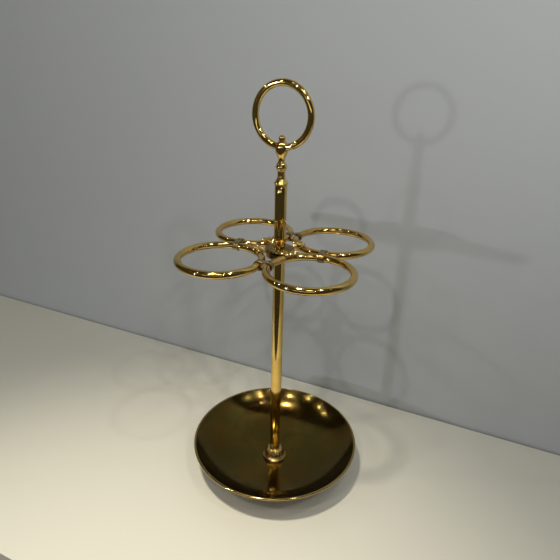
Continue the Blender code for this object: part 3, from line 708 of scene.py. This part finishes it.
def makeNut():
    low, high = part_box("base_nut")
    size = sizeOf("base_nut")
    flats, points = min(size.x, size.y) / 2, max(size.x, size.y) / 2
    along = 0.0 if size.x > size.y else pi / 6

    def hexagon(radius, height, angle):  # the flats cut a round blank
        if radius < flats * rodSizes["blank"]:
            return radius
        turn = (angle - along) % (pi / 3) - pi / 6
        return min(radius, flats / cos(turn))

    chamfer = (points - flats) * rodSizes["nutChamfer"]
    edge = rodSizes["nutEdge"]
    outline = [(points, high.z - chamfer), (points, low.z + chamfer), (flats, low.z), (rodHole + edge, low.z),
               (rodHole, low.z + edge), (rodHole, high.z - edge), (rodHole + edge, high.z), (flats, high.z)]
    nut = turned("hex_nut", outline, finishes["finial"], 96, shape=hexagon)
    settle(nut, "polished_brass", "base_nut")


def makeRod():  # only the thread near its two ends is cut
    low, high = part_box("tie_rod")
    radius = sizeOf("tie_rod").x / 2
    root = radius - rodSizes["thread"]
    pitch, edge = rodSizes["pitch"], rodSizes["edge"]

    def threaded(start, direction):
        crests = []
        for number in range(rodSizes["crests"]):
            z = start + direction * pitch * number
            crests += [(root, z), (radius, z + direction * pitch / 2)]
        return crests

    upper = threaded(high.z - edge, -1)
    lower = threaded(low.z + edge, 1)
    outline = [(0.0, high.z), (root - edge, high.z)] + upper + lower[::-1]
    outline += [(root - edge, low.z), (0.0, low.z)]
    rod = turned("threaded_rod", outline, finishes["steel"], 32, closed=False)
    settle(rod, "steel", "tie_rod")


makeFoot()
makeNut()
makeRod()
print("foot and fixings made")


# gadroons: one lobe and its share of the plain part, copied round the pole

lobe = {"fill": 0.985,  # how near the groove's sides come to upright
        "footFade": 2.5, "footStart": 0.15,  # rows over which the lobes fade out at the foot
        "topFade": 3}  # and grow in at the top


def domed(sizes, inner, outer, foot, rise):  # the quarter round that the lobes lie on, from the top down
    rows = sizes["rows"]
    tilts = [radians(sizes["topTilt"] - sizes["sweep"] * step / (rows - 1)) for step in range(rows)]
    return tilts, [(inner + (outer - inner) * cos(tilt), foot + rise * sin(tilt)) for tilt in tilts]


def gadrooned(name, dome, tilts, rest, sizes, foot, finish):  # a turned piece whose dome swells into lobes
    outline = dome + rest
    across = sizes["across"]
    turn = 2 * pi / sizes["lobes"]
    verts = []
    for index, (r, z) in enumerate(outline):
        for step in range(across + 1):
            share = step / across * 2 - 1  # -1 and 1 in the grooves, 0 on the ridge
            inward = lower = 0.0
            if index < len(dome):
                groove = 1 - sqrt(max(0.0, 1 - (abs(share) * lobe["fill"]) ** 2))
                fade = min(1.0, (len(dome) - 1 - index) / lobe["footFade"] + lobe["footStart"])
                fade *= min(1.0, index / lobe["topFade"] + sizes["start"])
                inward = sizes["groove"] * groove * fade * cos(tilts[index])
                lower = sizes["groove"] * groove * fade * sin(tilts[index])
            angle = turn * share / 2
            verts.append(((r - inward) * cos(angle), (r - inward) * sin(angle), z - lower + foot))
    faces = []
    for index in range(len(outline)):
        here = index * (across + 1)
        there = (index + 1) % len(outline) * (across + 1)
        for step in range(across):
            faces.append((here + step, there + step, there + step + 1, here + step + 1))
    piece = meshObject(name, verts, faces, finish)
    return repeated(piece, sizes["lobes"], finish, weld=0.000004)


# boss that the pole stands in

bossSizes = {"lobes": 17, "shoulder": 0.84, "domeFoot": 0.34, "groove": 0.0030, "start": 0.25, "across": 14,
             "rows": 22, "topTilt": 80, "sweep": 76,
             "upperBead": (0.27, 0.075), "lowerBead": (0.095, 0.085), "lowerBeadAt": 0.915,
             "socket": 0.0083, "socketDepth": 0.0092}


def makeBoss():
    radius = sizeOf("base_boss").x / 2
    height = sizeOf("base_boss").z
    socket = bossSizes["socket"]
    domeRadius = radius * bossSizes["shoulder"]
    domeFoot = height * bossSizes["domeFoot"]
    tilts, dome = domed(bossSizes, socket + gap * 2, domeRadius, domeFoot, height - domeFoot)
    at, size = bossSizes["upperBead"]
    upper = arc((domeRadius, height * at), radius * size, 85, -85, 11)
    at, size = bossSizes["lowerBead"]
    lower = arc((radius * bossSizes["lowerBeadAt"], height * at), radius * size, 85, -88, 11)
    socketFloor = height - bossSizes["socketDepth"]
    bore = [(rodHole, 0.0), (rodHole, socketFloor), (socket, socketFloor), (socket, dome[0][1])]
    boss = gadrooned("gadrooned_boss", dome, tilts, upper + lower + bore, bossSizes, footOf("base_boss"),
                     finishes["boss"])
    settle(boss, "polished_brass", "base_boss", reach=0.0005)


makeBoss()
print("boss made")


# pole

poleSizes = {"wall": 0.0012, "edge": 0.0003, "edgeRise": 0.0004, "bands": 40}


def makePole():
    low, high = pole["foot"], pole["top"]
    outer, inner = pole["radius"], pole["radius"] - poleSizes["wall"]
    edge, rise, bands = poleSizes["edge"], poleSizes["edgeRise"], poleSizes["bands"]
    outline = [(outer - edge, high)]
    for step in range(bands + 1):
        outline.append((outer, high - rise - (high - low - rise * 2) * step / bands))
    outline += [(outer - edge, low), (inner, low), (inner, high)]
    settle(turned("drawn_pole", outline, finishes["pole"], 96), "polished_brass", "pole_tube")


makePole()
print("pole made")


# umbrella rings and the ring handle, bent from round rod

handleSizes = {"rod": 0.0089, "turn": radians(-52), "steps": 144}  # the turn is about the pole, from +X
ringSizes = {"steps": 160, "rodSteps": 28}


def bentHandle(name, play, finish, fineness):  # play is added to the rod's radius
    rod = handleSizes["rod"] / 2
    return grown(emptyMesh(name), "rings", {
        "Count": 1, "Weld": 0.0, "Finish": finish,
        "Ring radius": sizeOf("handle_ring").z / 2 - rod, "Rod radius": rod + play,
        "Place": tuple(middleOf("handle_ring")), "Tilt": (pi / 2, 0.0, handleSizes["turn"]),
        "Ring steps": handleSizes["steps"], "Rod steps": fineness})


def makeRings():
    rings = grown(emptyMesh("rod_rings"), "rings", {
        "Count": ring["count"], "Weld": 0.0, "Finish": finishes["rings"],
        "Ring radius": ring["radius"], "Rod radius": ring["tube"],
        "Place": (ring["offset"], 0.0, ring["height"]), "Tilt": (0.0, 0.0, 0.0),
        "Ring steps": ringSizes["steps"], "Rod steps": ringSizes["rodSteps"]})
    settle(rings, "polished_brass", *ringNodes)
    handle = bentHandle("ring_handle", 0.0, finishes["handle"], ringSizes["rodSteps"])
    settle(handle, "polished_brass", "handle_ring")


makeRings()
print("rings made")


# strap clips round neighbouring rings

clipSizes = {"width": 0.008, "sheet": 0.0012, "valley": 0.022, "edge": 0.00015,
             "roundPoints": 41, "valleyPoints": 13}


def clipLine(offset):  # a waisted loop round two rods, this far off them
    half = (2 * ring["offset"] / sqrt(2) - 2 * ring["radius"]) / 2
    radius = ring["tube"] + offset
    dip = clipSizes["valley"] - (offset - gap) + clipSizes["sheet"]
    height = sqrt((radius + dip) ** 2 - half ** 2)
    lean = atan2(height, half) * 180 / pi
    many, few = clipSizes["roundPoints"], clipSizes["valleyPoints"]
    right = arc((half, 0.0), radius, 180 - lean, lean - 180, many)
    bottom = arc((0.0, -height), dip, lean, 180 - lean, few)[1:-1]
    left = arc((-half, 0.0), radius, -lean, lean - 360, many)
    top = arc((0.0, height), dip, 180 + lean, 360 - lean, few)[1:-1]
    return right + bottom + left + top


def makeClips():
    inner, outer = clipLine(gap), clipLine(gap + clipSizes["sheet"])
    half, edge = clipSizes["width"] / 2, clipSizes["edge"]
    share = edge / clipSizes["sheet"]
    loops = []
    section = [(0, -half + edge), (share, -half), (1 - share, -half), (1, -half + edge), (1, 0.0),
               (1, half - edge), (1 - share, half), (share, half), (0, half - edge), (0, 0.0)]
    for depth, across in section:
        loops.append([(Vector(a) * (1 - depth) + Vector(b) * depth, across) for a, b in zip(inner, outer)])
    turn = Matrix.Rotation(pi / 4, 4, "Z")
    reach = ring["offset"] / sqrt(2)
    verts = []
    for loop in loops:
        for point, across in loop:
            verts.append(turn @ Vector((reach + across, point.x, point.y + ring["height"])))
    number = len(inner)
    faces = []
    for index in range(len(loops)):
        here, there = index * number, (index + 1) % len(loops) * number
        for step in range(number):
            after = (step + 1) % number
            faces.append((here + step, here + after, there + after, there + step))
    piece = meshObject("strap_clips", verts, faces, finishes["strap"])
    repeated(piece, ring["count"], finishes["strap"])
    settle(piece, "polished_brass", *four("ring_clip"))


makeClips()
print("clips made")


# hub: body, cap, screws

hubSizes = {"bore": pole["radius"] + gap, "collar": pole["radius"] + 0.0035, "plate": 0.0072, "edge": 0.0006,
            "plateEdge": 0.002, "boreEdge": 0.0003, "topEdge": 0.0002, "lip": 0.0006}
coverSizes = {"lobes": 14, "groove": 0.0013, "start": 0.1, "across": 12, "rows": 24, "topTilt": 90,
              "sweep": 86}
screwSizes = {"shank": 0.0015, "head": 0.0022, "edge": 0.0003, "headEdge": 0.0006, "slotTurn": 0.5,
              "slot": (0.01, 0.0007, 0.0018)}


def makeHub():
    low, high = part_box("hub_body")
    bore, collar, edge = hubSizes["bore"], hubSizes["collar"], hubSizes["edge"]
    plate = high.z - hubSizes["plate"]
    block = rounded([(high.x, high.z, edge), (high.x, plate, hubSizes["plateEdge"]),
                     (collar + hubSizes["topEdge"], plate, 0.0), (collar, plate - edge, hubSizes["boreEdge"]),
                     (collar, low.z, edge), (bore, low.z, hubSizes["boreEdge"]),
                     (bore, high.z, hubSizes["topEdge"])])
    settle(turned("hub_block", block, finishes["hub"], 96), "aged_brass", "hub_body")
    low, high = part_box("hub_cap")
    lip, height = hubSizes["lip"], high.z - low.z
    tilts, dome = domed(coverSizes, bore + lip, high.x, edge, height - edge)
    rest = [(high.x - hubSizes["topEdge"], 0.0), (bore, 0.0), (bore, height - lip / 2),
            (bore + lip / 4, height)]
    cover = gadrooned("hub_cover", dome, tilts, rest, coverSizes, low.z, finishes["hub"])
    settle(cover, "aged_brass", "hub_cap", reach=0.0005)


def makeScrews():  # slotted, seen from below
    low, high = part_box("hub_screw_1")
    head, shank, edge = (high.x - low.x) / 2, screwSizes["shank"], screwSizes["edge"]
    seat = low.z + screwSizes["head"]
    outline = [(0.0, high.z), (shank - edge, high.z), (shank, high.z - edge), (shank, seat), (head, seat),
               (head, low.z + screwSizes["headEdge"]), (head * 0.92, low.z + screwSizes["headEdge"] / 3),
               (head * 0.7, low.z), (0.0, low.z)]
    screw = turned("hub_screws", outline, finishes["finial"], 40, closed=False)
    tool = emptyMesh("slot_tool")
    block = bmesh.new()
    place = Matrix.Translation((0, 0, low.z)) @ Matrix.Rotation(screwSizes["slotTurn"], 4, "Z")
    bmesh.ops.create_cube(block, size=1.0, matrix=place @ Matrix.Diagonal((*screwSizes["slot"], 1.0)))
    block.to_mesh(tool.data)
    block.free()
    carve(screw, tool)
    mesh = applied(screw)
    bpy.data.objects.remove(tool, do_unlink=True)
    mesh.transform(Matrix.Translation((middleOf("hub_screw_1").x, 0.0, 0.0)))
    repeated(screw, ring["count"], finishes["finial"])
    settle(screw, "polished_brass", *four("hub_screw"))


makeHub()
makeScrews()
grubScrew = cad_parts["hub_grub_screw"]
grubScrew.data.materials.clear()
grubScrew.data.materials.append(finishes["steel"])
print("hub made")


# palmettes: five rounded lobes fan out over each ring's tube

palm = {"lobes": 5, "spread": radians(80), "reach": 0.0142, "sideReach": 0.0158, "scallop": 0.0044,
        "rib": 0.0026, "neck": 0.0034, "seat": 0.0006, "lip": 0.0005, "climb": 0.0075, "firstRise": 0.2,
        "sheet": 0.0016, "start": 0.0077, "tang": 0.0027, "tangWidth": 0.008, "tangFromPole": 0.0025,
        "under": -0.0015, "rows": 40, "tangRows": 4, "perLobe": 14, "waist": 0.52, "web": 0.35,
        "ballAt": 0.76, "ball": 0.25,  # each finger's ball, as shares of its length
        "fingerStart": 0.25, "fingerRise": 1.8}
palm["root"] = ring["offset"] - ring["radius"] - palm["start"]  # where the fan leaves the tang


def palmUnderside(x, y):
    root = palm["root"]
    over = ring["tube"] + palm["seat"]
    across = ring["radius"] - hypot(ring["offset"] - x, y)
    if across > 0:
        return max(palm["lip"], sqrt(max(0.0, over ** 2 - across ** 2)))
    if x < root:
        return palm["under"]
    climb = min(1.0, palm["firstRise"] + hypot(x - root, y) / palm["climb"])
    return palm["under"] + (over - palm["under"]) * climb ** 2 * (3 - 2 * climb)


def palmCrown(x, y, ridge):
    low = palmUnderside(x, y)
    if x < palm["root"]:
        return low + palm["tang"]
    web = palm["sheet"] * palm["web"]
    crown = low + web
    across = ring["radius"] - hypot(ring["offset"] - x, y)
    if across > 0:
        outer = ring["tube"] + palm["seat"] + web
        crown = max(crown, sqrt(max(0.0, outer ** 2 - across ** 2)))
    return crown + palm["rib"] * ridge


def palmSwell(share):  # a slim finger that ends in a ball
    finger = min(1.0, share * palm["fingerRise"] + palm["fingerStart"]) * palm["waist"]
    ball = sqrt(max(0.0, 1 - ((share - palm["ballAt"]) / palm["ball"]) ** 2))
    return max(finger * (1.0 if share < palm["ballAt"] else ball), ball)


def palmPlace(row, turn):  # where a point lies, and how high its ridge is
    if row < palm["tangRows"]:
        inner = pole["radius"] + palm["tangFromPole"]
        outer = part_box("hub_cap")[1].x + gap
        return inner + (outer - inner) * row / (palm["tangRows"] - 1), turn * palm["tangWidth"] / 2, 0.0
    share = (row - palm["tangRows"]) / palm["rows"]
    phase = abs((turn + 1) / 2 * palm["lobes"] % 1.0 * 2 - 1)  # 0 on a ridge, 1 in a groove
    ridge = sqrt(max(0.0, 1 - phase ** 2))
    reach = palm["reach"] + (palm["sideReach"] - palm["reach"]) * turn ** 2 - palm["scallop"] * (1 - ridge)
    angle = turn * palm["spread"]
    x = palm["root"] + share * reach * cos(angle)
    y = turn * palm["neck"] * (1 - share) + share * reach * sin(angle)
    return x, y, ridge * palmSwell(share)


def makePalmettes():
    rows = palm["tangRows"] + palm["rows"]
    columns = palm["lobes"] * palm["perLobe"]
    low, high = [], []
    for row in range(rows + 1):
        for column in range(columns + 1):
            x, y, ridge = palmPlace(row, column / columns * 2 - 1)
            low.append(Vector((x, y, ring["height"] + palmUnderside(x, y))))
            high.append(Vector((x, y, ring["height"] + palmCrown(x, y, ridge))))
    wide = columns + 1
    count = len(low)
    faces = []
    for row in range(rows):
        for column in range(columns):
            a = row * wide + column
            faces.append((a, a + 1, a + wide + 1, a + wide))
            faces.append((count + a, count + a + wide, count + a + wide + 1, count + a + 1))
    border = list(range(columns)) + [row * wide + columns for row in range(rows)]
    border += [rows * wide + column for column in range(columns, 0, -1)]
    border += [row * wide for row in range(rows, 0, -1)]
    for a, b in zip(border, border[1:] + border[:1]):
        faces.append((a, count + a, count + b, b))
    piece = meshObject("palmettes", low + high, faces, finishes["cast"], smoothTo=55)
    skin = bmesh.new()
    skin.from_mesh(piece.data)
    bmesh.ops.recalc_face_normals(skin, faces=skin.faces)
    skin.to_mesh(piece.data)
    skin.free()
    repeated(piece, ring["count"], finishes["cast"])
    settle(piece, "polished_brass", *four("palmette"), reach=0.0007)


makePalmettes()
print("palmettes made")


# finial: ferrule, baluster, knuckle and knob

finial = {  # outlines are shares of a piece's radius and height
    "bell": [(0.53, 1.0), (0.53, 0.93), (0.56, 0.81), (0.65, 0.62), (0.83, 0.44), (0.97, 0.33), (1.0, 0.27),
             (0.97, 0.22)],
    "band": [(0.90, 0.19), (0.885, 0.15), (0.885, 0.06), (0.87, 0.0)],
    "bulb": [(0.58, 1.0), (0.60, 0.92), (0.74, 0.82), (0.90, 0.71), (1.0, 0.53), (0.97, 0.42)],
    "waist": [(0.86, 0.37), (0.74, 0.30), (0.67, 0.24), (0.66, 0.19), (0.70, 0.14), (0.70, 0.03),
              (0.67, 0.0)],
    "vase": [(0.50, 1.0), (0.61, 0.975), (0.79, 0.915), (0.91, 0.835), (0.98, 0.72), (1.0, 0.60),
             (0.98, 0.48), (0.88, 0.345), (0.72, 0.22), (0.57, 0.10), (0.52, 0.04), (0.50, 0.0)],
    "steps": 96, "spigotPlay": 0.0015, "spigotDepth": 0.012,
    "knobFill": 1.06, "knobSink": 0.0002, "knobNeck": (0.83, 0.86), "knobRise": 0.0009, "knobShank": 0.0015,
    "eyePlay": gap * 0.6, "eyeEdge": 0.0002}


def scaled(line, node, foot=None):
    low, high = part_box(node)
    foot = low.z if foot is None else foot
    return [(across * high.x, foot + up * (high.z - foot)) for across, up in finial[line]]


def turnedFinial(name, outline, node, steps=finial["steps"], closed=True):
    settle(turned(name, outline, finishes["finial"], steps, closed), "polished_brass", node)


def makeFinial():
    foot = pole["top"] + gap
    spigot = pole["radius"] - finial["spigotPlay"]
    spigotFoot = foot - finial["spigotDepth"]
    outline = flowing(scaled("bell", "ferrule", foot), 6) + scaled("band", "ferrule", foot)
    outline += [(spigot, foot), (spigot, spigotFoot), (rodHole, spigotFoot), (rodHole, topOf("ferrule"))]
    turnedFinial("ferrule_bell", outline, "ferrule")
    outline = flowing(scaled("bulb", "baluster"), 6) + flowing(scaled("waist", "baluster"), 4)
    outline += [(rodHole, footOf("baluster")), (rodHole, topOf("baluster"))]
    turnedFinial("baluster_bulb", outline, "baluster")
    low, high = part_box("knob_screw")
    radius = high.x * finial["knobFill"]
    centre = high.z - radius + finial["knobSink"]
    line = arc((0.0, centre), radius, 90, -34, 18)
    line[0] = (0.0, centre + radius)
    seat = topOf("knuckle") + gap
    neck, foot = finial["knobNeck"]
    shank = finial["knobShank"]
    line += [(radius * neck, seat + finial["knobRise"]), (radius * foot, seat), (shank, seat), (shank, low.z),
             (0.0, low.z)]
    turnedFinial("ball_knob", line, "knob_screw", 64, closed=False)


def makeKnuckle():  # a vase with a round eye that follows the handle's bend
    low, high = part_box("knuckle")
    outline = [(0.0, high.z)] + flowing(scaled("vase", "knuckle"), 5) + [(0.0, low.z)]
    piece = turned("knuckle_vase", outline, finishes["finial"], finial["steps"], closed=False)
    tool = bentHandle("eye_tool", finial["eyePlay"], finishes["finial"], 36)
    carve(piece, tool)
    soft = piece.modifiers.new("soft", "BEVEL")
    soft.width = finial["eyeEdge"]
    soft.segments = 2
    soft.angle_limit = radians(50)
    mesh = applied(piece)
    bpy.data.objects.remove(tool, do_unlink=True)
    mesh.set_sharp_from_angle(angle=radians(45))
    settle(piece, "polished_brass", "knuckle")


makeFinial()
makeKnuckle()
print("finial made")
